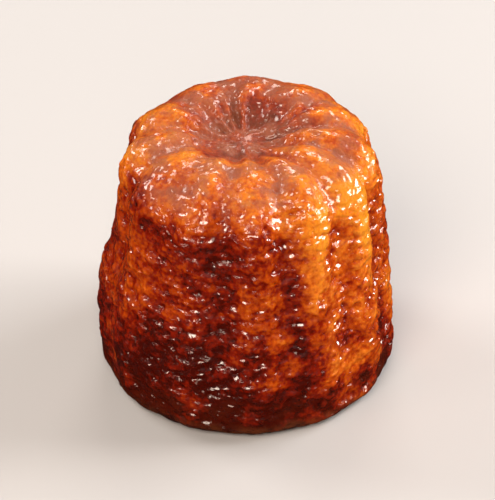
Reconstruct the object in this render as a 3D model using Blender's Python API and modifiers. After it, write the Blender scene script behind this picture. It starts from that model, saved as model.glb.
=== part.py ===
"""A large canele: a small fluted cake with a dark caramelised crust, standing on its flat base.

It was baked in a fluted mould and turned out, so its top is the mould's bottom: twelve lobes run
up the side, over the shoulder and down into a dimple in the middle of the top. The base is the
open side of the mould: it is slightly dished, inside a flat ring that the cake stands on.

Units are metres, +Z is up, and the origin is the middle of the base. The lobe named by
FRONT_LOBE_AZIMUTH faces -Y.
"""

import math

import bmesh
import bpy
import numpy as np

MM = 0.001

# Driving dimensions
HEIGHT = 50.0 * MM
DIMPLE_FLOOR_RADIUS = 4.4 * MM
DIMPLE_DEPTH = 3.9 * MM
DIMPLE_OFFSET = (-1.1 * MM, 2.6 * MM)
RIM_RADIUS = 10.6 * MM
RIM_RISE = 0.4 * MM
TOP_RADIUS = 23.9 * MM
TOP_FALL = 1.0 * MM
BELLY_RADIUS = 27.3 * MM
BELLY_HEIGHT = 11.0 * MM
FOOT_RADIUS = 26.4 * MM
FOOT_FLAT_WIDTH = 4.0 * MM
DISH_RADIUS = 15.0 * MM
DISH_DEPTH = 0.7 * MM

# Roundings of the profile's corners
DIMPLE_ROUNDING = 4.0 * MM
RIM_ROUNDING = 5.5 * MM
SHOULDER_ROUNDING = 9.5 * MM
BELLY_ROUNDING = 45.0 * MM
FOOT_ROUNDING = 4.2 * MM
DISH_ROUNDING = 12.0 * MM

# Flutes
LOBES = 12
FRONT_LOBE_AZIMUTH = math.radians(-86.5)
CROWDING = 0.1
CROWDED_AZIMUTH = math.radians(-55.0)
GROOVE_SOFTNESS = 0.28
FAINT_AZIMUTH = math.radians(-131.0)
FAINT_WIDTH = math.radians(16.0)
FAINTNESS = 0.8
FLUTE_DEPTH_TOP = 0.75 * MM
FLUTE_DEPTH_SHOULDER = 1.9 * MM
FLUTE_DEPTH_FOOT = 0.8 * MM
MELTED_AZIMUTH = math.radians(85.0)
MELTED_REACH = math.radians(55.0)
MELTED_EDGE = math.radians(50.0)
MELTED_FROM_HEIGHT = 33.0 * MM
MELTED_SHARE = 0.72
MELTED_LEVEL = 0.5

# Uneven baking
SWELL_SIZE = 19.0 * MM
SWELL_DEPTH = 0.75 * MM
SWELL_SEED = 8.0
CRAG_SIZE = 5.5 * MM
CRAG_DEPTH = 0.4 * MM
CRAG_SEED = 2.0
SAG_AZIMUTH = math.radians(192.0)
SAG_WIDTH = math.radians(42.0)
SAG_HEIGHT = 25.0 * MM
SAG_REACH = 16.0 * MM
SAG_DEPTH = 0.75 * MM
SAG_EDGE = 1.8 * MM
NECK_HEIGHT = 38.5 * MM
NECK_REACH = 4.5 * MM
NECK_DEPTH = 0.6 * MM

# Numbers that scatter the lattice values of the noise
LATTICE_STRIDES = (127.1, 311.7, 74.7)
SEED_STRIDE = 53.3
SCATTER = 43758.5453

# Facets
SECTORS = 120
BEND_STEP = math.radians(11.0)
STRAIGHT_STEP = 2.7 * MM
BASE_STEP = 8.0 * MM

CRUST_COLOUR = (0.34, 0.055, 0.012, 1.0)
CRUST_ROUGHNESS = 0.34


def clear_scene():
    """Removes every object of the startup scene."""
    for thing in list(bpy.data.objects):
        bpy.data.objects.remove(thing)


def new_collection(name):
    """A collection in the scene."""
    made = bpy.data.collections.new(name)
    bpy.context.scene.collection.children.link(made)
    return made


def ease(low, high, value):
    """0 below low, 1 above high, and a smooth S between."""
    share = np.clip((value - low) / (high - low), 0.0, 1.0)
    return share * share * (3.0 - 2.0 * share)


def split(start, end, step):
    """Points from start to end, both ends left out, no more than a step apart."""
    start, end = np.array(start), np.array(end)
    pieces = max(1, math.ceil(np.linalg.norm(end - start) / step))
    return [start + (end - start) * i / pieces for i in range(1, pieces)]


def fillet(before, corner, after, rounding):
    """The points of an arc of that radius that rounds a corner of the profile."""
    before, corner, after = np.array(before), np.array(corner), np.array(after)
    arriving = (corner - before) / np.linalg.norm(corner - before)
    leaving = (after - corner) / np.linalg.norm(after - corner)
    turn = math.atan2(
        arriving[0] * leaving[1] - arriving[1] * leaving[0], float(arriving @ leaving)
    )
    tangent = rounding * math.tan(abs(turn) / 2)
    side = math.copysign(1.0, turn)
    start = corner - arriving * tangent
    centre = start + rounding * side * np.array((-arriving[1], arriving[0]))
    spoke = start - centre
    steps = max(1, math.ceil(abs(turn) / BEND_STEP))
    arc = []
    for i in range(steps + 1):
        angle = turn * i / steps
        cos, sin = math.cos(angle), math.sin(angle)
        arc.append(
            centre + np.array((cos * spoke[0] - sin * spoke[1], sin * spoke[0] + cos * spoke[1]))
        )
    return arc


def profile():
    """Half of the cake's section through the crests of its lobes, from the middle of the top
    down to the middle of the base, as (radius, height) points."""
    floor = HEIGHT - DIMPLE_DEPTH
    corners = [
        ((0.0, floor), None, STRAIGHT_STEP),
        ((DIMPLE_FLOOR_RADIUS, floor), DIMPLE_ROUNDING, STRAIGHT_STEP),
        ((RIM_RADIUS, HEIGHT + RIM_RISE), RIM_ROUNDING, STRAIGHT_STEP),
        ((TOP_RADIUS, HEIGHT - TOP_FALL), SHOULDER_ROUNDING, STRAIGHT_STEP),
        ((BELLY_RADIUS, BELLY_HEIGHT), BELLY_ROUNDING, STRAIGHT_STEP),
        ((FOOT_RADIUS, 0.0), FOOT_ROUNDING, STRAIGHT_STEP),
        ((FOOT_RADIUS - FOOT_ROUNDING - FOOT_FLAT_WIDTH, 0.0), DISH_ROUNDING, BASE_STEP),
        ((DISH_RADIUS, DISH_DEPTH), DISH_ROUNDING, BASE_STEP),
        ((0.0, DISH_DEPTH), None, BASE_STEP),
    ]
    places = [corner[0] for corner in corners]
    line = [np.array(places[0])]
    for i in range(1, len(corners)):
        place, rounding, step = corners[i]
        if rounding is None:
            arc = [np.array(place)]
        else:
            arc = fillet(places[i - 1], place, places[i + 1], rounding)
        line += split(line[-1], arc[0], step) + arc
    return line


def turned(line):
    """A closed body of revolution: the profile as a wire, spun round Z by a Screw modifier."""
    mesh = bpy.data.meshes.new("profile")
    points = [(float(radius), 0.0, float(height)) for radius, height in line]
    edges = [(i, i + 1) for i in range(len(points) - 1)]
    mesh.from_pydata(points, edges, [])
    wire = bpy.data.objects.new("profile", mesh)
    bpy.context.scene.collection.objects.link(wire)
    spin = wire.modifiers.new("spin", "SCREW")
    spin.axis = "Z"
    spin.steps = SECTORS
    spin.render_steps = SECTORS
    spin.use_merge_vertices = True
    spin.merge_threshold = 0.00001
    bpy.context.view_layer.update()
    graph = bpy.context.evaluated_depsgraph_get()
    body = bpy.data.meshes.new_from_object(wire.evaluated_get(graph))
    bpy.data.objects.remove(wire)
    return body


def lattice_value(cells, seed):
    """A number from -1 to 1 for each whole-numbered lattice point, always the same one."""
    wave = np.sin(cells @ np.array(LATTICE_STRIDES) + seed * SEED_STRIDE) * SCATTER
    return 2.0 * (wave - np.floor(wave)) - 1.0


def smooth_noise(points, seed):
    """Value noise: random numbers on a lattice of side 1, blended smoothly between its points."""
    cell = np.floor(points)
    share = points - cell
    share = share**3 * (share * (share * 6.0 - 15.0) + 10.0)
    total = np.zeros(len(points))
    for corner in np.ndindex(2, 2, 2):
        step = np.array(corner)
        weight = np.prod(np.where(step == 1, share, 1.0 - share), axis=1)
        total += weight * lattice_value(cell + step, seed)
    return total


def flute(azimuth):
    """1 on the crest of a lobe and 0 in the groove between two. The lobes stand closer together
    on one side of the cake, and wider apart on the other."""
    crowded = CROWDING * (
        np.sin(azimuth - CROWDED_AZIMUTH) - np.sin(FRONT_LOBE_AZIMUTH - CROWDED_AZIMUTH)
    )
    phase = 0.5 * LOBES * (azimuth - FRONT_LOBE_AZIMUTH + crowded)
    softened = np.sqrt(np.cos(phase) ** 2 + GROOVE_SOFTNESS**2) - GROOVE_SOFTNESS
    return softened / (math.sqrt(1.0 + GROOVE_SOFTNESS**2) - GROOVE_SOFTNESS)


def melted(azimuth, height):
    """The share of their depth that the grooves lost round the back of the shoulder."""
    away = np.abs(np.angle(np.exp(1j * (azimuth - MELTED_AZIMUTH))))
    behind = 1.0 - ease(MELTED_REACH, MELTED_REACH + MELTED_EDGE, away)
    return MELTED_SHARE * behind * ease(MELTED_FROM_HEIGHT, HEIGHT, height)


def grooves(azimuth, radius, height):
    """How far the grooves cut in: not at all on the dimple's floor, and most on the front
    shoulder. Where the lobes melted together, the surface lies between crest and groove."""
    valley = flute(azimuth) - 1.0
    lost = melted(azimuth, height)
    up_the_side = ease(0.0, HEIGHT, height)
    depth = FLUTE_DEPTH_FOOT + (FLUTE_DEPTH_SHOULDER - FLUTE_DEPTH_FOOT) * up_the_side
    side = depth * ((1.0 - lost) * valley - lost * MELTED_LEVEL)
    from_the_middle = ease(0.5 * DIMPLE_FLOOR_RADIUS, 2.0 * DIMPLE_FLOOR_RADIUS, radius)
    top = FLUTE_DEPTH_TOP * from_the_middle * valley
    on_top = height > HEIGHT - 2.0 * DIMPLE_DEPTH
    outward = np.where(on_top, ease(RIM_RADIUS, TOP_RADIUS, radius), 1.0)
    return faint(azimuth) * (top + (side - top) * outward)


def sag(azimuth, height):
    """One side sagged as it baked: it has a neck under the shoulder, and lower down a soft step
    below which it is fuller."""
    away = np.angle(np.exp(1j * (azimuth - SAG_AZIMUTH)))
    step = np.tanh((SAG_HEIGHT - height) / SAG_EDGE)
    fuller = SAG_DEPTH * step * np.exp(-(((height - SAG_HEIGHT) / SAG_REACH) ** 2))
    neck = NECK_DEPTH * np.exp(-(((height - NECK_HEIGHT) / NECK_REACH) ** 2))
    return (fuller - neck) * np.exp(-((away / SAG_WIDTH) ** 2))


def faint(azimuth):
    """1 nearly everywhere, and less beside the one groove where two lobes ran together."""
    away = np.angle(np.exp(1j * (azimuth - FAINT_AZIMUTH)))
    return 1.0 - FAINTNESS * np.exp(-((away / FAINT_WIDTH) ** 2))


def relief(points, facing):
    """How far each point of the turned body moves along its normal."""
    azimuth = np.arctan2(points[:, 1], points[:, 0])
    radius = np.hypot(points[:, 0], points[:, 1])
    height = points[:, 2]
    cut = grooves(azimuth, radius, height)
    swelling = SWELL_DEPTH * smooth_noise(points / SWELL_SIZE, SWELL_SEED)
    crags = CRAG_DEPTH * smooth_noise(points / CRAG_SIZE, CRAG_SEED)
    off_the_base = 1.0 - np.clip(-facing[:, 2], 0.0, 1.0)
    return off_the_base * (cut + swelling + crags + sag(azimuth, height))


def shape(body):
    """Moves the turned body's points along their normals into lobes, grooves and crags, and the
    dimple a little off the middle."""
    count = len(body.vertices)
    points = np.empty(count * 3)
    body.vertices.foreach_get("co", points)
    facing = np.empty(count * 3)
    body.vertex_normals.foreach_get("vector", facing)
    points, facing = points.reshape(-1, 3), facing.reshape(-1, 3)
    points = points + facing * relief(points, facing)[:, None]
    inward = 1.0 - ease(0.0, TOP_RADIUS, np.hypot(points[:, 0], points[:, 1]))
    on_top = points[:, 2] > 0.5 * HEIGHT
    points[:, :2] += np.array(DIMPLE_OFFSET) * (inward * on_top)[:, None]
    points[:, 2] = np.maximum(points[:, 2], 0.0)
    body.vertices.foreach_set("co", points.ravel())
    body.update()


def caramel_crust():
    """A hard, dark, glossy crust of caramelised sugar and beeswax."""
    material = bpy.data.materials.new("caramel_crust")
    material.use_nodes = True
    finish = material.node_tree.nodes["Principled BSDF"]
    finish.inputs["Base Color"].default_value = CRUST_COLOUR
    finish.inputs["Roughness"].default_value = CRUST_ROUGHNESS
    finish.inputs["Metallic"].default_value = 0.0
    material.diffuse_color = CRUST_COLOUR
    return material


def make_cake(collection):
    """The whole cake is one solid."""
    body = turned(profile())
    cleaned = bmesh.new()
    cleaned.from_mesh(body)
    bmesh.ops.recalc_face_normals(cleaned, faces=cleaned.faces)
    cleaned.to_mesh(body)
    cleaned.free()
    shape(body)
    body.shade_smooth()
    body.materials.clear()
    body.materials.append(caramel_crust())
    cake = bpy.data.objects.new("canele", body)
    collection.objects.link(cake)
    return cake


def main():
    clear_scene()
    make_cake(new_collection("canele"))


main()
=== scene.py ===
# %% [markdown]
# # A canele, from its fluted form to its caramel crust
#
# A canele is a small custard-like cake, baked very hot in a fluted copper mould that is lined with
# butter and beeswax. Against the metal the sugar melts into a hard, glossy crust, pale amber where
# it stayed thin and mahogany where it went on cooking. Turned out, the cake stands on what was
# its open side, and the bottom of the mould shows on top, with a dimple in its middle.
#
# The CAD model comes first. It fixes the size, and it stays in the physics model. The lesson
# then works out the same form again on a much finer grid, where the crust has room for its
# dents, lumps and folds, and lets that surface stand for the solid.

import math

import bpy
import numpy as np
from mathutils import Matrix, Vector


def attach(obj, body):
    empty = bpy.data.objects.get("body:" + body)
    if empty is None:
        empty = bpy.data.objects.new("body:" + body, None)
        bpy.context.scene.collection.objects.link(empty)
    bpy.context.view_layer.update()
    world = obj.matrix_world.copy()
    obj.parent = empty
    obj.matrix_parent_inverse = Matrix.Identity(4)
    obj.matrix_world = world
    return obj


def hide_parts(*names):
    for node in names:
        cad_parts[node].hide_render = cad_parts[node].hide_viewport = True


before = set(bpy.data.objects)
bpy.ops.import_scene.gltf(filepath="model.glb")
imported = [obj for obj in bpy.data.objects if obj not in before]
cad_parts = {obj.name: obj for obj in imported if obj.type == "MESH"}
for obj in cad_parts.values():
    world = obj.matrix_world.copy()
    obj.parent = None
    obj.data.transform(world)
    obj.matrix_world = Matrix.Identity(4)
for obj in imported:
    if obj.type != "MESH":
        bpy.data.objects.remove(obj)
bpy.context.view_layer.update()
MM = 0.001

# %% [markdown]
# ## The section of the cake
#
# A moulded cake is almost a turned shape, so it starts as half a section: from the middle of the
# dimple out to the rim, over the shoulder, down the side, round the foot and back to the middle
# of the base. Drawing it as a few corners, each with its own rounding, keeps every size a number
# that can be read and changed. A lathe would do the same to a wooden pattern for the mould.

# %% Sizes of the section
HEIGHT = 50.0 * MM
DIMPLE_FLOOR_RADIUS = 4.4 * MM
DIMPLE_DEPTH = 3.9 * MM
DIMPLE_OFFSET = (-1.1 * MM, 2.6 * MM)
RIM_RADIUS = 10.6 * MM
RIM_RISE = 0.4 * MM
TOP_RADIUS = 23.9 * MM
TOP_FALL = 1.0 * MM
BELLY_RADIUS = 27.3 * MM
BELLY_HEIGHT = 11.0 * MM
FOOT_RADIUS = 26.4 * MM
FOOT_FLAT_WIDTH = 4.0 * MM
DISH_RADIUS = 15.0 * MM
DISH_DEPTH = 0.7 * MM

DIMPLE_ROUNDING = 4.0 * MM
RIM_ROUNDING = 5.5 * MM
SHOULDER_ROUNDING = 9.5 * MM
BELLY_ROUNDING = 45.0 * MM
FOOT_ROUNDING = 4.2 * MM
DISH_ROUNDING = 12.0 * MM
print("the blank is", round(2.0 * BELLY_RADIUS / MM, 1), "mm wide, before its grooves are cut")

# %% A corner rounded by an arc
ARC_POINTS = 40


def fillet(before, corner, after, rounding):
    """An arc that touches both lines of a corner. It starts rounding x tan(turn / 2) before the
    corner, and its points are the first one turned about the arc's centre."""
    before, corner, after = np.array(before), np.array(corner), np.array(after)
    arriving = (corner - before) / np.linalg.norm(corner - before)
    leaving = (after - corner) / np.linalg.norm(after - corner)
    cross = arriving[0] * leaving[1] - arriving[1] * leaving[0]
    turn = math.atan2(cross, float(arriving @ leaving))
    start = corner - arriving * rounding * math.tan(abs(turn) / 2)
    across = np.array((-arriving[1], arriving[0])) * math.copysign(1.0, turn)
    centre = start + rounding * across
    spoke = start - centre
    angle = turn * np.linspace(0.0, 1.0, ARC_POINTS)[:, None]
    swung = np.array((-spoke[1], spoke[0]))
    return centre + np.cos(angle) * spoke + np.sin(angle) * swung


def section():
    """The rounded corners in order, as (radius, height) points."""
    floor = HEIGHT - DIMPLE_DEPTH
    flat = FOOT_RADIUS - FOOT_ROUNDING - FOOT_FLAT_WIDTH
    corners = [
        ((0.0, floor), None),
        ((DIMPLE_FLOOR_RADIUS, floor), DIMPLE_ROUNDING),
        ((RIM_RADIUS, HEIGHT + RIM_RISE), RIM_ROUNDING),
        ((TOP_RADIUS, HEIGHT - TOP_FALL), SHOULDER_ROUNDING),
        ((BELLY_RADIUS, BELLY_HEIGHT), BELLY_ROUNDING),
        ((FOOT_RADIUS, 0.0), FOOT_ROUNDING),
        ((flat, 0.0), DISH_ROUNDING),
        ((DISH_RADIUS, DISH_DEPTH), DISH_ROUNDING),
        ((0.0, DISH_DEPTH), None),
    ]
    line = [np.array([corners[0][0]])]
    for before, here, after in zip(corners, corners[1:], corners[2:]):
        line.append(fillet(before[0], here[0], after[0], here[1]))
    line.append(np.array([corners[-1][0]]))
    return np.concatenate(line)


half = section()
steps = np.linalg.norm(np.diff(half, axis=0), axis=1)
along = np.concatenate([[0.0], np.cumsum(steps)])
print(f"the section is {along[-1] / MM:.1f} mm long")

# %% [markdown]
# ## One grid for the whole surface
#
# The surface is a grid. One parameter runs along the section and the other round the cake. Rows
# are close together where the crust shows and far apart under the base, because a dent a
# millimetre across needs about three rows, and the budget is 200,000 triangles.

# %% Rows along the section, columns round the cake
COLUMNS = 424
ROWS_SHOWN = 214
ROWS_UNDER = 17

from_the_foot = np.hypot(half[:, 0] - (FOOT_RADIUS - FOOT_ROUNDING), half[:, 1])
foot = float(along[np.argmin(from_the_foot)])
stations = np.concatenate(
    [
        np.linspace(0.0, foot, ROWS_SHOWN + 1)[1:],
        np.linspace(foot, along[-1], ROWS_UNDER + 1)[1:-1],
    ]
)
ring_radius = np.interp(stations, along, half[:, 0])
ring_height = np.interp(stations, along, half[:, 1])
slope = np.stack([np.gradient(ring_radius, stations), np.gradient(ring_height, stations)])
slope /= np.linalg.norm(slope, axis=0)
azimuth = np.linspace(0.0, 2.0 * math.pi, COLUMNS, endpoint=False)


def turned(radial, height):
    """Every ring's (radial, height) carried round the axis: x = radial cos a, y = radial sin a."""
    x = radial[:, None] * np.cos(azimuth)
    y = radial[:, None] * np.sin(azimuth)
    return np.stack([x, y, np.broadcast_to(height[:, None], x.shape)], axis=2)


blank = turned(ring_radius, ring_height)
blank_facing = turned(-slope[1], slope[0])
print("grid:", blank.shape[:2], "rings and columns, a ring every", round(stations[0] / MM, 2), "mm")

# %% [markdown]
# ## Noise that never changes
#
# Baking is uneven, but a part has to come out the same each time. Value noise gives both: each
# whole-numbered point of a lattice gets a fixed number from a scrambled sine, and the space
# between is blended. Cell noise asks instead how far the nearest of many scattered seeds is, and
# each seed can then be the middle of a round dent.

# %% Value noise and cell noise
LATTICE_STRIDES = (127.1, 311.7, 74.7)
SEED_STRIDE = 53.3
SCATTER = 43758.5453
SEED_SPREAD = 0.45
FAR_AWAY = 9.0


def lattice_value(cells, seed):
    """The fractional part of a scrambled sine of the cell's place, from -1 to 1."""
    wave = np.sin(cells @ np.array(LATTICE_STRIDES) + seed * SEED_STRIDE) * SCATTER
    return 2.0 * (wave - np.floor(wave)) - 1.0


def smooth_noise(points, seed):
    """The eight lattice numbers round a point, each weighted by 6 s^5 - 15 s^4 + 10 s^3 of the
    point's share s of the way towards it."""
    cell = np.floor(points)
    share = points - cell
    share = share**3 * (share * (share * 6.0 - 15.0) + 10.0)
    total = np.zeros(points.shape[:-1])
    for corner in np.ndindex(2, 2, 2):
        step = np.array(corner)
        weight = np.prod(np.where(step == 1, share, 1.0 - share), axis=-1)
        total += weight * lattice_value(cell + step, seed)
    return total


def nearest_seed(points, seed):
    """The distance to the nearest seed, where each lattice cell holds one seed off its middle,
    and that seed's own number from -1 to 1."""
    cell = np.floor(points)
    nearest = np.full(points.shape[:-1], FAR_AWAY)
    number = np.zeros(points.shape[:-1])
    for step in np.ndindex(3, 3, 3):
        near = cell + np.array(step) - 1.0
        place = np.stack([lattice_value(near, seed + i) for i in (1.0, 2.0, 3.0)], axis=-1)
        distance = np.linalg.norm(near + 0.5 + SEED_SPREAD * place - points, axis=-1)
        number = np.where(distance < nearest, lattice_value(near, seed + 4.0), number)
        nearest = np.minimum(nearest, distance)
    return nearest, number


def ease(low, high, value):
    """0 at low, 1 at high, and the smooth S 3 s^2 - 2 s^3 between. Low may be the larger one."""
    share = np.clip((value - low) / (high - low), 0.0, 1.0)
    return share * share * (3.0 - 2.0 * share)


print("the noise at one fixed point:", round(float(smooth_noise(np.full((1, 3), 0.3), 1.0)[0]), 3))

# %% [markdown]
# ## Lobes, sag and swelling
#
# The mould's flutes make twelve lobes with narrow grooves between. They are deepest on the
# shoulder, and on top they run in as shallow folds and die away in the dimple. A softened
# |cos| gives just that: broad crests and narrow valleys. The cake then sagged a little as it
# baked, and swelled unevenly. Each of these is a distance that the surface moves along its own
# normal, so they simply add up.

# %% Twelve lobes
LOBES = 12
FRONT_LOBE_AZIMUTH = math.radians(-86.5)
CROWDING = 0.1
CROWDED_AZIMUTH = math.radians(-55.0)
GROOVE_SOFTNESS = 0.28


def turned_from(azimuths, middle):
    """How far round an azimuth is from a middle one, from -pi to pi."""
    return np.angle(np.exp(1j * (azimuths - middle)))


def flute(around):
    """(sqrt(cos^2 p + s^2) - s) / (sqrt(1 + s^2) - s), where p turns by half a circle a lobe."""
    start = np.sin(FRONT_LOBE_AZIMUTH - CROWDED_AZIMUTH)
    crowded = CROWDING * (np.sin(around - CROWDED_AZIMUTH) - start)
    phase = 0.5 * LOBES * (around - FRONT_LOBE_AZIMUTH + crowded)
    softened = np.sqrt(np.cos(phase) ** 2 + GROOVE_SOFTNESS**2) - GROOVE_SOFTNESS
    return softened / (math.sqrt(1.0 + GROOVE_SOFTNESS**2) - GROOVE_SOFTNESS)


print("mean level from groove, 0, to crest, 1:", round(float(flute(azimuth).mean()), 2))

# %% How deep the grooves run
FLUTE_DEPTH_TOP = 0.75 * MM
FLUTE_DEPTH_SHOULDER = 1.9 * MM
FLUTE_DEPTH_FOOT = 0.8 * MM
FAINT_AZIMUTH = math.radians(-131.0)
FAINT_WIDTH = math.radians(16.0)
FAINTNESS = 0.8
MELTED_AZIMUTH = math.radians(85.0)
MELTED_REACH = math.radians(55.0)
MELTED_EDGE = math.radians(50.0)
MELTED_FROM_HEIGHT = 33.0 * MM
MELTED_SHARE = 0.72
MELTED_LEVEL = 0.5


def melted(around, height):
    """The share of their depth that the grooves lost round the back of the shoulder."""
    away = np.abs(turned_from(around, MELTED_AZIMUTH))
    behind = 1.0 - ease(MELTED_REACH, MELTED_REACH + MELTED_EDGE, away)
    return MELTED_SHARE * behind * ease(MELTED_FROM_HEIGHT, HEIGHT, height)


def faint(around):
    """1 nearly everywhere, and less beside the one groove where two lobes ran together."""
    away = turned_from(around, FAINT_AZIMUTH)
    return 1.0 - FAINTNESS * np.exp(-((away / FAINT_WIDTH) ** 2))


def grooves(around, radius, height):
    """From nothing at the dimple's floor, over a shallow fold on the rim, to full depth on the
    shoulder, and from there down to about half at the foot. Where the lobes melted together, the
    surface lies between crest and groove."""
    valley = flute(around) - 1.0
    lost = melted(around, height)
    up_the_side = ease(0.0, HEIGHT, height)
    depth = FLUTE_DEPTH_FOOT + (FLUTE_DEPTH_SHOULDER - FLUTE_DEPTH_FOOT) * up_the_side
    side = depth * ((1.0 - lost) * valley - lost * MELTED_LEVEL)
    from_the_middle = ease(0.5 * DIMPLE_FLOOR_RADIUS, 2.0 * DIMPLE_FLOOR_RADIUS, radius)
    top = FLUTE_DEPTH_TOP * from_the_middle * valley
    on_top = height > HEIGHT - 2.0 * DIMPLE_DEPTH
    outward = np.where(on_top, ease(RIM_RADIUS, TOP_RADIUS, radius), 1.0)
    return faint(around) * (top + (side - top) * outward)


around = np.broadcast_to(azimuth, blank.shape[:2])
blank_radius = np.hypot(blank[..., 0], blank[..., 1])
blank_height = blank[..., 2]
cut = grooves(around, blank_radius, blank_height)
print("deepest groove in mm:", round(float(-cut.min()) / MM, 2))

# %% A neck and a soft step on one side
SAG_AZIMUTH = math.radians(192.0)
SAG_WIDTH = math.radians(42.0)
SAG_HEIGHT = 25.0 * MM
SAG_REACH = 16.0 * MM
SAG_DEPTH = 0.75 * MM
SAG_EDGE = 1.8 * MM
NECK_HEIGHT = 38.5 * MM
NECK_REACH = 4.5 * MM
NECK_DEPTH = 0.6 * MM


def sag(around, height):
    """A tanh step at half height and a Gaussian neck under the shoulder, on one side only."""
    step = np.tanh((SAG_HEIGHT - height) / SAG_EDGE)
    fuller = SAG_DEPTH * step * np.exp(-(((height - SAG_HEIGHT) / SAG_REACH) ** 2))
    neck = NECK_DEPTH * np.exp(-(((height - NECK_HEIGHT) / NECK_REACH) ** 2))
    return (fuller - neck) * np.exp(-((turned_from(around, SAG_AZIMUTH) / SAG_WIDTH) ** 2))


sagged = sag(around, blank_height)
print("the sag in mm:", [round(float(v) / MM, 2) for v in (sagged.min(), sagged.max())])

# %% The cake's form on the grid
SWELL_SIZE = 19.0 * MM
SWELL_DEPTH = 0.75 * MM
SWELL_SEED = 8.0
CRAG_SIZE = 5.5 * MM
CRAG_DEPTH = 0.4 * MM
CRAG_SEED = 2.0

off_the_base = 1.0 - np.clip(-blank_facing[..., 2], 0.0, 1.0)
swelling = SWELL_DEPTH * smooth_noise(blank / SWELL_SIZE, SWELL_SEED)
crags = CRAG_DEPTH * smooth_noise(blank / CRAG_SIZE, CRAG_SEED)
moved = off_the_base * (cut + swelling + crags + sagged)

form = blank + blank_facing * moved[..., None]
inward = 1.0 - ease(0.0, TOP_RADIUS, np.hypot(form[..., 0], form[..., 1]))
inward = inward * (form[..., 2] > 0.5 * HEIGHT)
form[..., :2] += np.array(DIMPLE_OFFSET) * inward[..., None]
form[..., 2] = np.maximum(form[..., 2], 0.0)
print("moved in mm:", [round(float(v) / MM, 2) for v in (moved.min(), moved.max())])

# %% Which way the form faces
LEVEL_FROM, LEVEL_TO = 0.45, 0.95


def facing_of(grid):
    """Cross product of the directions along the section and round the cake, at each point."""
    down = np.gradient(grid, axis=0)
    wrapped = np.concatenate([grid[:, -1:], grid, grid[:, :1]], axis=1)
    across = np.gradient(wrapped, axis=1)[:, 1:-1]
    normal = np.cross(down, across)
    return normal / np.linalg.norm(normal, axis=2, keepdims=True)


form_facing = facing_of(form)
outwards = float((form_facing * blank_facing).sum(axis=2).mean())
form_facing *= math.copysign(1.0, outwards)
height = form[..., 2]
radius = np.hypot(form[..., 0] - DIMPLE_OFFSET[0], form[..., 1] - DIMPLE_OFFSET[1])
upper_half = height > 0.5 * HEIGHT
top_share = ease(LEVEL_FROM, LEVEL_TO, form_facing[..., 2])
side_share = 1.0 - top_share
print("normals agree with the blank:", round(abs(outwards), 3))

# %% [markdown]
# ## The crust
#
# Where batter fries against wax and metal it seethes. Steam leaves round dents from half a
# millimetre to two and a half millimetres wide. The sugar sets over them in lumps, and in flat
# pillows with creases between that lie nearly level, because the cake rises and slides against
# the mould. The top rests on the mould's floor and stays smoother, and its skin gathers in uneven
# folds round the dimple, deepest behind it.
#
# All of this is real shape, cut inwards from the form, so that the cake stays inside its CAD box.
# The noise behind it comes from a tilted lattice. On an upright one the lumps would line up in
# level rows, which no crust does.

# %% Round dents
DENT_KINDS = [  # spacing, widest radius, share of places left empty, seed, depth
    (3.4 * MM, 1.25 * MM, 0.25, 20.0, 0.42 * MM),
    (2.1 * MM, 0.8 * MM, 0.30, 24.0, 0.30 * MM),
    (1.5 * MM, 0.55 * MM, 0.35, 28.0, 0.20 * MM),
]
SMALLEST_DENT = 0.4


def dents(points, spacing, widest, empty, seed):
    """A bowl 1 - (distance / radius)^2 round each seed, with a radius between the smallest share
    of the widest and the widest, and none where the seed's own number is in the empty share."""
    distance, number = nearest_seed(points / spacing, seed)
    share = np.clip((0.5 + 0.5 * number - empty) / (1.0 - empty), 0.0, 1.0)
    bowl_radius = widest * (SMALLEST_DENT + (1.0 - SMALLEST_DENT) * share)
    bowl = np.clip(1.0 - (distance * spacing / bowl_radius) ** 2, 0.0, 1.0)
    return bowl * (share > 0.0)


bowls = [dents(form, *kind[:4]) for kind in DENT_KINDS]
print("share of the grid in a dent:", [round(float((bowl > 0.0).mean()), 2) for bowl in bowls])

# %% Lumps, and creases between level pillows
LUMP_SIZE = 1.5 * MM
LUMP_DEPTH = 0.42 * MM
LUMP_SEED = 31.0
PILLOW_LENGTH = 3.0 * MM
PILLOW_HEIGHT = 1.5 * MM
PILLOW_SEED = 33.0
PILLOW_WANDER = 0.4
CREASE_DEPTH = 0.36 * MM
CREASE_SHARPNESS = 4
TILT_ANGLES = (0.62, 0.47)


def tilted(points):
    """The points turned by two fixed angles, about x and then about y."""
    c, s = np.cos(TILT_ANGLES), np.sin(TILT_ANGLES)
    about_x = np.array([[1.0, 0.0, 0.0], [0.0, c[0], -s[0]], [0.0, s[0], c[0]]])
    about_y = np.array([[c[1], 0.0, s[1]], [0.0, 1.0, 0.0], [-s[1], 0.0, c[1]]])
    return points @ about_x @ about_y


lumps = 0.5 + 0.5 * smooth_noise(tilted(form / LUMP_SIZE), LUMP_SEED)
flattened = tilted(form / np.array((PILLOW_LENGTH, PILLOW_LENGTH, PILLOW_HEIGHT)))
creases = 1.0 - np.abs(smooth_noise(flattened + PILLOW_WANDER * lumps[..., None], PILLOW_SEED))
creases = creases**CREASE_SHARPNESS
print("share of the grid in a crease:", round(float((creases > 0.5).mean()), 2))

# %% Folds round the dimple
FOLDS = 14
FOLD_DEPTH = 0.5 * MM
FOLDS_BEHIND = math.radians(60.0)
FOLDS_START = (2.0 * MM, 5.0 * MM)
FOLDS_REACH = 7.0 * MM
FOLDS_REACH_MORE_BEHIND = 4.0 * MM
FOLDS_FADE = 9.0 * MM
FOLD_TWIST = 14.0 * MM
FOLD_WANDER = 5.0
WANDER_FINENESS, WANDER_SEED = 1.6, 35.0
FOLD_STRENGTH = 0.3
FOLD_STRENGTH_BEHIND = 0.6
FOLD_UNEVENNESS = 0.5
UNEVENNESS_FINENESS, UNEVENNESS_SEED = 2.3, 36.0
STRONGEST_FOLD = 1.2

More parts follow.
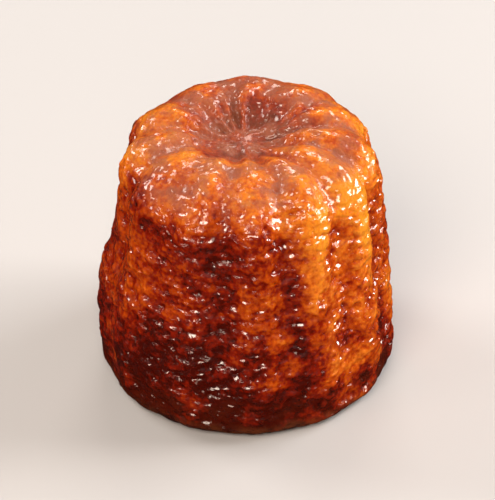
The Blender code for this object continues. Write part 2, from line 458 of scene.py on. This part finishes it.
behind = 0.5 + 0.5 * np.cos(turned_from(around, FOLDS_BEHIND))
reach = FOLDS_REACH + FOLDS_REACH_MORE_BEHIND * behind
in_dimple = ease(*FOLDS_START, radius) * (1.0 - ease(reach, reach + FOLDS_FADE, radius))
in_dimple = in_dimple * upper_half
bearing = np.stack([np.cos(around), np.sin(around), radius / FOLD_TWIST], axis=-1)
fold_shift = FOLD_WANDER * smooth_noise(bearing * WANDER_FINENESS, WANDER_SEED)
uneven = smooth_noise(bearing * UNEVENNESS_FINENESS, UNEVENNESS_SEED)
fold_strength = FOLD_STRENGTH + FOLD_STRENGTH_BEHIND * behind + FOLD_UNEVENNESS * uneven
folds = 0.5 + 0.5 * np.cos(FOLDS * around + fold_shift)
folds = 1.0 - np.clip(fold_strength, 0.0, STRONGEST_FOLD) * (1.0 - folds)
print("the folds run from", round(float(folds.min()), 2), "in a valley to 1 on a crest")

# %% The crust's relief
SMOOTHER_ON_TOP = 0.35
FEWER_CREASES_ON_TOP = 0.7
LEFT_UNDER_THE_BASE = 0.25
SKIN_ALLOWANCE = 0.07 * MM

on_side = 1.0 - SMOOTHER_ON_TOP * top_share
crust = -LUMP_DEPTH * on_side * (1.0 - lumps)
crust -= CREASE_DEPTH * (1.0 - FEWER_CREASES_ON_TOP * top_share) * creases
crust -= FOLD_DEPTH * in_dimple * (1.0 - folds)
for kind, bowl in zip(DENT_KINDS, bowls):
    crust -= kind[4] * on_side * bowl
crust *= LEFT_UNDER_THE_BASE + (1.0 - LEFT_UNDER_THE_BASE) * off_the_base
crust -= SKIN_ALLOWANCE * off_the_base
skin = form + form_facing * crust[..., None]
skin[..., 2] = np.maximum(skin[..., 2], 0.0)
print("crust relief in mm:", [round(float(v) / MM, 2) for v in (crust.min(), crust.max())])

# %% [markdown]
# ## Where it browned
#
# Heat reaches the side through the copper and cooks it dark, while the top, which lay on the
# mould's floor, stays amber. Towards the foot the side is darker still, partly browning and partly
# painted shade. The oven was milder on one side, so there the amber runs further down, and two
# crests stay pale past half height. Browning is a single number for each point, from 0, pale amber,
# to 1, nearly burnt. It could be painted by hand, but a sum of named terms can be read and changed,
# and it fits the relief exactly. It also carries painted shade: it grows in the grooves, partly as
# browning, and in the creases, the valleys between lumps and folds, and the larger dents as painted
# shade. A few streaks are painted light and shade as well.

# %% From amber to mahogany down the side
TOP_BROWNING = 0.2
SIDE_BROWNING = 0.745
DARK_LINE = 45.8 * MM
DARK_LINE_RISES = [(1.0 * MM, -138.0, 24.0), (1.5 * MM, -88.0, 13.0)]  # rise, azimuth, width
DARK_LINE_WANDER = 2.5 * MM
LINE_WANDER_SIZE, LINE_WANDER_SEED = 6.0 * MM, 51.0
DARK_REACH = 5.5 * MM
PALE_FROM = math.radians(-81.0)
PALE_TO = math.radians(-65.0)
PALE_FADES = (math.radians(-64.0), math.radians(-46.0))
PALE_IN_GROOVES = 0.7
PALE_DROP = 20.0 * MM
PALE_REACH = 7.0 * MM
SECOND_CREST = (0.85, -27.0, 10.0)  # share, azimuth, width


def beside(middle, width):
    """exp(-(a / width)^2), where a is the angle round the cake from a middle azimuth, and all
    three are in degrees."""
    away = np.degrees(turned_from(around, math.radians(middle)))
    return np.exp(-((away / width) ** 2))


crest = flute(around)
signed = turned_from(around, 0.0)
pale = ease(PALE_FROM, PALE_TO, signed) * (1.0 - ease(*PALE_FADES, signed))
pale = pale * (PALE_IN_GROOVES + (1.0 - PALE_IN_GROOVES) * crest)
pale = np.maximum(pale, SECOND_CREST[0] * beside(*SECOND_CREST[1:]))
wander = DARK_LINE_WANDER * smooth_noise(form / LINE_WANDER_SIZE, LINE_WANDER_SEED)
dark_line = DARK_LINE + wander - PALE_DROP * pale
for rise, middle, width in DARK_LINE_RISES:
    dark_line += rise * beside(middle, width)
dark_reach = DARK_REACH + PALE_REACH * pale
darkened = ease(dark_line + dark_reach, dark_line - dark_reach, height)
browning = TOP_BROWNING + (SIDE_BROWNING - TOP_BROWNING) * darkened
print("half of the grid is browner than", round(float(np.median(browning)), 2))

# %% Foot, dimple, patches and valleys
# Darker towards the foot: partly browning, partly painted shade low on the side.
FOOT_BROWNING_AND_SHADE = 0.24
FOOT_FROM, FOOT_TO = 22.0 * MM, 1.0 * MM
DIMPLE_BROWNING = 0.34
DIMPLE_FROM, DIMPLE_TO = 4.0 * MM, 13.0 * MM
CLOUDY, CLOUD_SIZE, CLOUD_SEED = 0.1, 9.0 * MM, 52.0
MOTTLED, MOTTLE_SIZE, MOTTLE_SEED = 0.14, 2.6 * MM, 53.0
PATCHY, PATCH_SIZE, PATCH_SEED = 0.05, 4.5 * MM, 55.0
PATCHY_LOW_DOWN = 0.27
PATCHY_FROM, PATCHY_TO = 26.0 * MM, 8.0 * MM
GROOVE_BROWNING_AND_SHADE = 0.07
PALE_GROOVE_BROWNING_AND_SHADE = 0.16
GROOVE_STARTS = (2.0 * MM, 8.0 * MM)
# Painted shade in the relief: darker between lumps and in creases, lighter on the lumps.
PAINTED_LUMP_SHADE = 0.2
PAINTED_CREASE_SHADE = 0.12
USUAL_CREASE = 0.3
# Painted shade in the valleys of the folds round the dimple, more behind it.
PAINTED_FOLD_SHADE = 0.15
PAINTED_FOLD_SHADE_BEHIND = 0.2
# Painted shade in the larger dents.
PAINTED_DENT_SHADE = 0.16
AMBER_DENTS = 0.25
AMBER_DENT_SPACING, AMBER_DENT_SEED, AMBER_DENT_LEVEL = 4.0 * MM, 54.0, 0.1

# Partly painted shade: darker towards the foot.
browning += FOOT_BROWNING_AND_SHADE * ease(FOOT_FROM, FOOT_TO, height)
browning += DIMPLE_BROWNING * (1.0 - ease(DIMPLE_FROM, DIMPLE_TO, radius)) * upper_half
browning += CLOUDY * smooth_noise(form / CLOUD_SIZE, CLOUD_SEED)
browning += MOTTLED * smooth_noise(tilted(form / MOTTLE_SIZE), MOTTLE_SEED) * on_side
patchy = PATCHY + PATCHY_LOW_DOWN * ease(PATCHY_FROM, PATCHY_TO, height)
browning += patchy * smooth_noise(tilted(form / PATCH_SIZE), PATCH_SEED) * side_share
# Darker in the grooves, more so on the pale crests: partly browning, partly painted shade.
in_grooves = (1.0 - crest) * ease(*GROOVE_STARTS, radius)
browning += (GROOVE_BROWNING_AND_SHADE + PALE_GROOVE_BROWNING_AND_SHADE * pale) * in_grooves
# Painted shade: darker between the lumps and in the creases.
painted_valley_shade = PAINTED_LUMP_SHADE * (0.5 - lumps) + PAINTED_CREASE_SHADE * (creases - USUAL_CREASE)
browning += painted_valley_shade * on_side
# Painted shade: darker in the fold valleys, deepest behind the dimple.
browning += (PAINTED_FOLD_SHADE + PAINTED_FOLD_SHADE_BEHIND * behind) * in_dimple * (1.0 - folds)
chosen = smooth_noise(form / AMBER_DENT_SPACING, AMBER_DENT_SEED) > AMBER_DENT_LEVEL
amber_dents = bowls[2] * chosen
# The larger dents are darkened as painted shade; the chosen small dents are amber.
browning += PAINTED_DENT_SHADE * bowls[1] - AMBER_DENTS * amber_dents
print("browning from", round(float(browning.min()), 2), "to", round(float(browning.max()), 2))

# %% Streaks where the mould was hotter or cooler, and streaks of painted light and shade
MILD_SIDE = 0.27
MILD_RISES = (math.radians(-62.0), math.radians(-40.0))
MILD_FALLS = (0.5, 1.2)
STREAKS = [  # amount, azimuth, width, heights in mm where it starts and where it ends, its share
    # Partly lighter crust, partly painted light on the left of the side.
    (-0.06, -145.0, 25.0, (14.0, 24.0), None, side_share),
    # Painted shade on the lit flank of the pale crest, and painted light on the shaded flank across
    # the groove from it, softening the groove's shading.
    (0.08, -68.5, 3.5, None, None, side_share),
    (-0.1, -77.0, 5.0, None, None, side_share),
    # Painted shade: darker low on the left, where the lamps light the side strongly.
    (0.14, -128.0, 28.0, None, (30.0, 18.0), 1.0),
    (-0.12, -84.0, 11.0, (18.0, 30.0), (42.0, 38.0), 1.0),
    (-0.32, -62.0, 9.0, None, (14.0, 9.0), off_the_base),
    (0.1, -142.0, 14.0, (36.0, 40.0), (47.5, 43.0), 1.0),
    # Painted light: the pale edge on the far left under the shoulder stands for reflected light.
    (-0.3, -178.0, 13.0, (33.0, 40.0), None, side_share),
    # Partly amber crust, partly a painted highlight along the glinting groove.
    (-0.2, -54.0, 4.5, (6.0, 14.0), None, side_share),
]
AMBER_SPOT = (0.34, -119.0, 9.0)  # amount, azimuth, width
AMBER_SPOT_HEIGHT = 9.5 * MM
AMBER_SPOT_REACH = 4.0 * MM

mild = ease(*MILD_RISES, signed) * (1.0 - ease(*MILD_FALLS, signed))
browning -= MILD_SIDE * mild * side_share
for amount, middle, width, start, end, share in STREAKS:
    streak = amount * beside(middle, width) * share
    for limits in (start, end):
        if limits:
            streak = streak * ease(limits[0] * MM, limits[1] * MM, height)
    browning += streak
spot = np.exp(-(((height - AMBER_SPOT_HEIGHT) / AMBER_SPOT_REACH) ** 2))
browning -= AMBER_SPOT[0] * beside(*AMBER_SPOT[1:]) * spot * off_the_base
print("browning from", round(float(browning.min()), 2), "to", round(float(browning.max()), 2))

# %% [markdown]
# ## Wax, sugar and glaze
#
# Three more numbers say what lies on the crust. Wax stays in the dimple and in the folds on top
# as a dull film, and the purple-brown it brings into the colour is partly a painted sheen. Sugar
# gives the gloss, and there is less of it under the wax and at the foot.
# Glaze is a thicker, smoother coat of sugar that ran together on both shoulders and down one
# groove, and that is where the light makes whole bright patches instead of single glints.

# %% What lies on the crust
WAX_IN_DIMPLE = 0.5
WAX_FROM, WAX_TO = 3.0 * MM, 14.0 * MM
WAX_IN_FOLDS = 0.4
FOLDS_FROM, FOLDS_TO = 9.0 * MM, 14.0 * MM
LESS_SUGAR_ON_TOP = 0.4
LESS_SUGAR_UNDER_WAX = 0.6
SUGAR_AT_THE_FOOT = 0.5
SUGAR_FROM, SUGAR_TO = 3.0 * MM, 18.0 * MM
GLAZED_SHOULDERS = [(1.0, -36.0, 16.0), (0.9, -150.0, 18.0)]  # share, azimuth, width
SHOULDER_FROM, SHOULDER_TO = 42.0 * MM, 45.0 * MM
NEARLY_LEVEL = (0.9, 0.98)
GLAZED_GROOVE = (0.9, -54.0, 4.5)
GROOVE_FROM, GROOVE_TO = 8.0 * MM, 14.0 * MM

waxy = WAX_IN_DIMPLE * (1.0 - ease(WAX_FROM, WAX_TO, radius)) * upper_half
waxy += WAX_IN_FOLDS * (1.0 - crest) * top_share * ease(FOLDS_FROM, FOLDS_TO, radius)
sugared = 1.0 - LESS_SUGAR_ON_TOP * top_share
sugared *= 1.0 - LESS_SUGAR_UNDER_WAX * np.clip(2.0 * waxy, 0.0, 1.0)
up_from_the_foot = ease(SUGAR_FROM, SUGAR_TO, height)
sugared *= SUGAR_AT_THE_FOOT + (1.0 - SUGAR_AT_THE_FOOT) * up_from_the_foot
on_shoulder = ease(SHOULDER_FROM, SHOULDER_TO, height)
on_shoulder *= 1.0 - ease(*NEARLY_LEVEL, form_facing[..., 2])
glazed = on_shoulder * sum(share * beside(*where) for share, *where in GLAZED_SHOULDERS)
down_the_groove = ease(GROOVE_FROM, GROOVE_TO, height) * (1.0 - on_shoulder)
glazed += GLAZED_GROOVE[0] * beside(*GLAZED_GROOVE[1:]) * down_the_groove
print("share of the grid with a thick glaze:", round(float((glazed > 0.5).mean()), 3))


# %% [markdown]
# ## From arrays to a mesh
#
# The grid closes round the cake by joining the last column to the first, and each pole is one
# extra point with a fan of triangles. The numbers for browning, wax, sugar and glaze are stored
# on the mesh as attributes, with two that mark the top and the underside, so the material can
# read them at every point and no pattern slides.


# %% The mesh and its stored values
def closed_grid(name, grid, top, bottom):
    """Quads (i, j), (i, j + 1), (i + 1, j + 1), (i + 1, j) with j taken round, and two fans."""
    rings, columns = grid.shape[:2]
    index = np.arange(rings * columns).reshape(rings, columns)
    right = np.roll(index, -1, axis=1)
    quads = np.stack([index[:-1], index[1:], right[1:], right[:-1]], axis=2).reshape(-1, 4)
    first, last = rings * columns, rings * columns + 1
    fan_top = np.stack([np.full(columns, first), index[0], right[0]], axis=1)
    fan_bottom = np.stack([np.full(columns, last), right[-1], index[-1]], axis=1)
    points = np.concatenate([grid.reshape(-1, 3), [top, bottom]])
    faces = quads.tolist() + fan_top.tolist() + fan_bottom.tolist()
    mesh = bpy.data.meshes.new(name)
    mesh.from_pydata(points.tolist(), [], faces)
    mesh.shade_smooth()
    return mesh


def store(mesh, name, values, at_top, at_bottom):
    """Writes one number for each point, ring by ring and then the two poles."""
    column = np.concatenate([values.ravel(), [at_top, at_bottom]]).astype(np.float32)
    mesh.attributes.new(name, "FLOAT", "POINT").data.foreach_set("value", column)


cake_mesh = closed_grid("fluted_cake", skin, skin[0].mean(axis=0), skin[-1].mean(axis=0))
store(cake_mesh, "browning", browning, browning[0].mean(), browning[-1].mean())
store(cake_mesh, "on_top", top_share, 1.0, 0.0)
store(cake_mesh, "waxy", waxy, waxy[0].mean(), 0.0)
store(cake_mesh, "underside", 1.0 - off_the_base, 0.0, 1.0)
store(cake_mesh, "sugared", sugared, sugared[0].mean(), sugared[-1].mean())
store(cake_mesh, "glaze", glazed, 0.0, 0.0)

cake = bpy.data.objects.new("fluted_cake", cake_mesh)
bpy.context.scene.collection.objects.link(cake)
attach(cake, "root")
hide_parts("canele")
print("triangles:", sum(len(face.vertices) - 2 for face in cake_mesh.polygons))

# %% [markdown]
# ## Caramelised crust
#
# The crust is cooked sugar, butter and wax: brown glass, nearly, over a dark crumb. Light goes a
# little way in and comes back orange, and the surface throws sharp glints off every lump. In
# Blender that is a dark, saturated base colour, a little subsurface light, and a clear coat with
# a much lower roughness than the base. The colour is a ramp over the stored browning, with its
# painted shade in the hollows, and fine burnt specks. On top a dull purple-brown is mixed over it,
# partly a bloom of wax and partly a painted sheen, and the coat is full only where sugar gathered
# in beads, or where the glaze covers everything.


# %% Colours and a helper for nodes
def linear(hex_colour):
    """An sRGB hex colour as the linear light that Blender computes with."""
    parts = [int(hex_colour[i : i + 2], 16) / 255.0 for i in (1, 3, 5)]
    return [v / 12.92 if v <= 0.04045 else ((v + 0.055) / 1.055) ** 2.4 for v in parts] + [1.0]


def add(tree, kind, inputs, **settings):
    """Adds one node. A socket in inputs is linked, and anything else is set as a value. A Map
    Range node takes its range from sockets 1 and 2 to sockets 3 and 4."""
    node = tree.nodes.new("ShaderNode" + kind)
    for name, value in settings.items():
        setattr(node, name, value)
    for socket, value in inputs.items():
        if isinstance(value, bpy.types.NodeSocket):
            tree.links.new(value, node.inputs[socket])
        else:
            node.inputs[socket].default_value = value
    return node


print("amber in linear light:", [round(v, 3) for v in linear("#d8741a")[:3]])

# %% The stored numbers, and burnt specks over the browning
SPECK_SIZE = 0.9 * MM
BROWNING_COLOURS = [
    (0.0, "#e58f20"),
    (0.25, "#d8741a"),
    (0.5, "#b24402"),
    (0.75, "#7e1600"),
    (1.0, "#440800"),
]

caramel = bpy.data.materials.new("caramelised_sugar_crust")
caramel.use_nodes = True
tree = caramel.node_tree
tree.nodes.clear()

place = add(tree, "TexCoord", {}).outputs["Object"]
browned, underside, on_top, wax, sugar, glaze = [
    add(tree, "Attribute", {}, attribute_name=name).outputs["Fac"]
    for name in ("browning", "underside", "on_top", "waxy", "sugared", "glaze")
]

specks = add(tree, "TexNoise", {"Vector": place, "Scale": 1.0 / SPECK_SIZE, "Detail": 3.0})
speck_range = {"Value": specks.outputs["Fac"], 1: 0.34, 2: 0.66, 3: -0.13, 4: 0.13}
from_specks = add(tree, "MapRange", speck_range)
speckled = add(tree, "Math", {0: browned, 1: from_specks.outputs[0]}, operation="ADD")
ramp = add(tree, "ValToRGB", {"Fac": speckled.outputs[0]})
while len(ramp.color_ramp.elements) < len(BROWNING_COLOURS):
    ramp.color_ramp.elements.new(0.5)
for stop, (position, colour) in zip(ramp.color_ramp.elements, BROWNING_COLOURS):
    stop.position = position
    stop.color = linear(colour)
print("stops from amber to burnt sugar:", len(ramp.color_ramp.elements))

# %% A bloom of wax and a painted sheen on top, and the duller base
BLOOM_AND_SHEEN_PATCH_SIZE = 4.5 * MM
BLOOM_AND_SHEEN_COLOUR = "#985842"
PORE_SIZE = 2.5 * MM
BASE_COLOURS = [(0.35, "#33170e"), (0.68, "#7a4526")]

# Partly painted sheen: the purple-brown mixed in over patches on top and over the wax stands partly
# for a dull bloom of wax and partly for the sheen of light on the top.
cloud = add(tree, "TexNoise", {"Vector": place, "Scale": 1.0 / BLOOM_AND_SHEEN_PATCH_SIZE, "Detail": 5.0})
bloom_and_sheen_share = add(tree, "MapRange", {"Value": cloud.outputs["Fac"], 1: 0.46, 2: 0.57, 3: 0.0, 4: 0.6})
bloom_and_sheen_patches = add(tree, "Math", {0: on_top, 1: bloom_and_sheen_share.outputs[0]}, operation="MULTIPLY")
bloom_and_sheen = add(tree, "Math", {0: bloom_and_sheen_patches.outputs[0], 1: wax}, operation="ADD", use_clamp=True)
waxed_and_sheened = add(
    tree,
    "Mix",
    {"Factor": bloom_and_sheen.outputs[0], 6: ramp.outputs["Color"], 7: linear(BLOOM_AND_SHEEN_COLOUR)},
    data_type="RGBA",
)

# The base never touched the metal, so it is duller and browner, with the pores of the crumb.
pores = add(tree, "TexNoise", {"Vector": place, "Scale": 1.0 / PORE_SIZE, "Detail": 6.0})
baked_base = add(tree, "ValToRGB", {"Fac": pores.outputs["Fac"]})
for stop, (position, colour) in zip(baked_base.color_ramp.elements, BASE_COLOURS):
    stop.position = position
    stop.color = linear(colour)
whole_colour = add(
    tree,
    "Mix",
    {"Factor": underside, 6: waxed_and_sheened.outputs[2], 7: baked_base.outputs["Color"]},
    data_type="RGBA",
)
print("nodes for the colour:", len(tree.nodes))

# %% Ripples, wrinkles and beads too fine for the mesh
RIPPLE_SIZE = 0.7 * MM
RIPPLE_HEIGHT = 0.3 * MM
WRINKLES_PER_METRE = (330.0, 330.0, 620.0)  # one each 3 mm round the cake and each 1.6 mm up it
WRINKLE_TILT = (0.5, 0.4, 0.0)
WRINKLE_HEIGHT = 1.4 * MM
CALM_ON_TOP = 0.65
CALM_UNDER_GLAZE = 0.6
BEAD_SIZE = 1.1 * MM

ripples = add(tree, "TexNoise", {"Vector": place, "Scale": 1.0 / RIPPLE_SIZE, "Detail": 2.0})
ripple_set = {"Height": ripples.outputs["Fac"], "Strength": 1.0, "Distance": RIPPLE_HEIGHT}
bump = add(tree, "Bump", ripple_set)

# The coat is smoother than what it covers, and runs in nearly level wrinkles. They are calmer on
# top, where the crust lay on flat metal, and where the glaze filled them.
level = add(
    tree,
    "Mapping",
    {"Vector": place, "Scale": WRINKLES_PER_METRE, "Rotation": WRINKLE_TILT},
)
wrinkles = add(tree, "TexNoise", {"Vector": level.outputs["Vector"], "Scale": 1.0, "Detail": 1.0})
calmer = add(tree, "MapRange", {"Value": on_top, 1: 0.0, 2: 1.0, 3: 1.0, 4: CALM_ON_TOP})
filled = add(tree, "MapRange", {"Value": glaze, 1: 0.0, 2: 1.0, 3: 1.0, 4: CALM_UNDER_GLAZE})
calm = add(tree, "Math", {0: calmer.outputs[0], 1: filled.outputs[0]}, operation="MULTIPLY")
wrinkle_set = {"Height": wrinkles.outputs["Fac"], "Strength": calm.outputs[0]}
coat_bump = add(tree, "Bump", {**wrinkle_set, "Distance": WRINKLE_HEIGHT})

# Sugar gathers in small beads, and between them the coat is thin, except under the glaze.
beads = add(tree, "TexNoise", {"Vector": place, "Scale": 1.0 / BEAD_SIZE, "Detail": 1.0})
beaded = add(tree, "MapRange", {"Value": beads.outputs["Fac"], 1: 0.48, 2: 0.58, 3: 0.2, 4: 1.0})
covered = add(tree, "Math", {0: beaded.outputs[0], 1: glaze}, operation="MAXIMUM")
gloss = add(tree, "Math", {0: covered.outputs[0], 1: sugar}, operation="MULTIPLY")
print("nodes with the relief:", len(tree.nodes))

# %% The caramel's shader
SIDE_ROUGHNESS = 0.24
TOP_ROUGHNESS = 0.36

dull_range = {"Value": on_top, 1: 0.0, 2: 1.0, 3: SIDE_ROUGHNESS, 4: TOP_ROUGHNESS}
dull = add(tree, "MapRange", dull_range)
surface = add(
    tree,
    "BsdfPrincipled",
    {
        "Base Color": whole_colour.outputs[2],
        "Roughness": dull.outputs[0],
        "IOR": 1.45,
        "Specular IOR Level": 0.15,
        "Normal": bump.outputs["Normal"],
        "Subsurface Weight": 0.1,
        "Subsurface Radius": (1.0, 0.25, 0.06),
        "Subsurface Scale": 1.5 * MM,
        "Coat Weight": gloss.outputs[0],
        "Coat Roughness": 0.1,
        "Coat IOR": 2.0,
        "Coat Normal": coat_bump.outputs["Normal"],
    },
)
add(tree, "OutputMaterial", {"Surface": surface.outputs["BSDF"]})
cake_mesh.materials.append(caramel)
print("nodes in the crust:", len(tree.nodes))

# %% [markdown]
# ## The table, the light and the camera
#
# Small food is shot on a pale sweep under soft light. Seven soft boxes stand round this cake: a
# warm key in front, a window and a rim at its sides, a light behind, and three low ones that run
# their reflections down the side. A glint shows wherever the crust faces halfway between a light
# and the camera, so the lights' places decide which shoulder sparkles. The paper is kept out of
# the gloss, and the room is darker below the table, or the foot would turn grey.
#
# The camera looks down at 36.5 degrees from about a metre, as in the photograph, through a long
# lens that lets the cake fill most of the frame.

# %% A pale table
TABLE_HALF = 3.0

table_mesh = bpy.data.meshes.new("table_top")
corners = [(-TABLE_HALF, -TABLE_HALF, 0.0), (TABLE_HALF, -TABLE_HALF, 0.0)]
corners += [(TABLE_HALF, TABLE_HALF, 0.0), (-TABLE_HALF, TABLE_HALF, 0.0)]
table_mesh.from_pydata(corners, [], [(0, 1, 2, 3)])
table = bpy.data.objects.new("table_top", table_mesh)
bpy.context.scene.collection.objects.link(table)
table.visible_glossy = False

paper = bpy.data.materials.new("white_paper")
paper.use_nodes = True
sheet = paper.node_tree.nodes["Principled BSDF"]
sheet.inputs["Base Color"].default_value = linear("#c4c6c9")
sheet.inputs["Roughness"].default_value = 0.9
table_mesh.materials.append(paper)
print("table top:", 2.0 * TABLE_HALF, "m each way")

# %% Soft light
LIGHT_DISTANCE = 0.9
LIT_POINT = Vector((0.0, 0.0, 0.02))
LIGHTS = [  # name, azimuth, elevation, size in metres, watts, colour
    ("key", -104.0, 46.0, (0.42, 0.42), 5.6, "#ffecd8"),
    ("low_left", -150.0, 20.0, (0.35, 0.12), 1.4, "#ffdcc6"),
    ("low_front", -100.0, 15.0, (0.35, 0.1), 1.1, "#ffdcc6"),
    ("backlight", 85.0, 42.0, (0.35, 0.2), 2.2, "#fff2e6"),
    ("rim", 152.0, 37.0, (0.35, 0.3), 3.3, "#fff4ea"),
    ("window", 16.0, 37.0, (0.55, 0.35), 6.2, "#fff8f4"),
    ("low_window", 4.0, 13.0, (0.25, 0.25), 4.2, "#fff0e2"),
]


def sky_place(compass, elevation, distance):
    """A place at a compass angle from +X, a height angle and a distance from the cake."""
    a, e = math.radians(compass), math.radians(elevation)
    level_distance = distance * math.cos(e)
    return level_distance * math.cos(a), level_distance * math.sin(a), distance * math.sin(e)


def soft_box(name, place, size, power, colour):
    """A rectangle of light at a place, turned so that its -Z looks at the cake."""
    light = bpy.data.lights.new(name, "AREA")
    light.shape = "RECTANGLE"
    light.size, light.size_y = size
    light.energy = power
    light.color = linear(colour)[:3]
    lamp = bpy.data.objects.new(name, light)
    bpy.context.scene.collection.objects.link(lamp)
    lamp.location = place
    lamp.rotation_euler = (LIT_POINT - Vector(place)).to_track_quat("-Z", "Y").to_euler()


for name, compass, elevation, size, power, colour in LIGHTS:
    soft_box(name, sky_place(compass, elevation, LIGHT_DISTANCE), size, power, colour)
print("soft boxes:", len(LIGHTS), "with", round(sum(row[4] for row in LIGHTS), 1), "W in all")

# %% The dim room
ROOM_BELOW = (-0.15, 0.02)  # height of the direction, brightness
ROOM_ABOVE = (0.5, 0.18)

world = bpy.data.worlds.new("room")
world.use_nodes = True
room = world.node_tree
up = add(room, "TexCoord", {}).outputs["Generated"]
upwards = add(room, "SeparateXYZ", {0: up}).outputs["Z"]
room_range = {1: ROOM_BELOW[0], 2: ROOM_ABOVE[0], 3: ROOM_BELOW[1], 4: ROOM_ABOVE[1]}
brightness = add(room, "MapRange", {"Value": upwards, **room_range})
room.nodes["Background"].inputs["Color"].default_value = linear("#f4f0ea")
room.links.new(brightness.outputs[0], room.nodes["Background"].inputs["Strength"])
bpy.context.scene.world = world
bpy.context.scene.view_settings.view_transform = "Standard"
print("the room's brightness runs from", ROOM_BELOW[1], "to", ROOM_ABOVE[1])

# %% Camera
CAMERA_ELEVATION = math.radians(36.5)
CAMERA_DISTANCE = 0.97
FRAME_HEIGHT = 0.09
AIM = Vector((0.0, 0.0, 0.0235))

lens = bpy.data.cameras.new("camera")
lens.sensor_fit = "VERTICAL"
lens.sensor_height = 36.0
lens.lens = lens.sensor_height * CAMERA_DISTANCE / FRAME_HEIGHT
lens.clip_start = 0.05
camera = bpy.data.objects.new("camera", lens)
bpy.context.scene.collection.objects.link(camera)
away = Vector((0.0, -math.cos(CAMERA_ELEVATION), math.sin(CAMERA_ELEVATION)))
camera.location = AIM + CAMERA_DISTANCE * away
camera.rotation_euler = (math.pi / 2 - CAMERA_ELEVATION, 0.0, 0.0)
bpy.context.scene.camera = camera
print("lens in mm:", round(lens.lens, 1))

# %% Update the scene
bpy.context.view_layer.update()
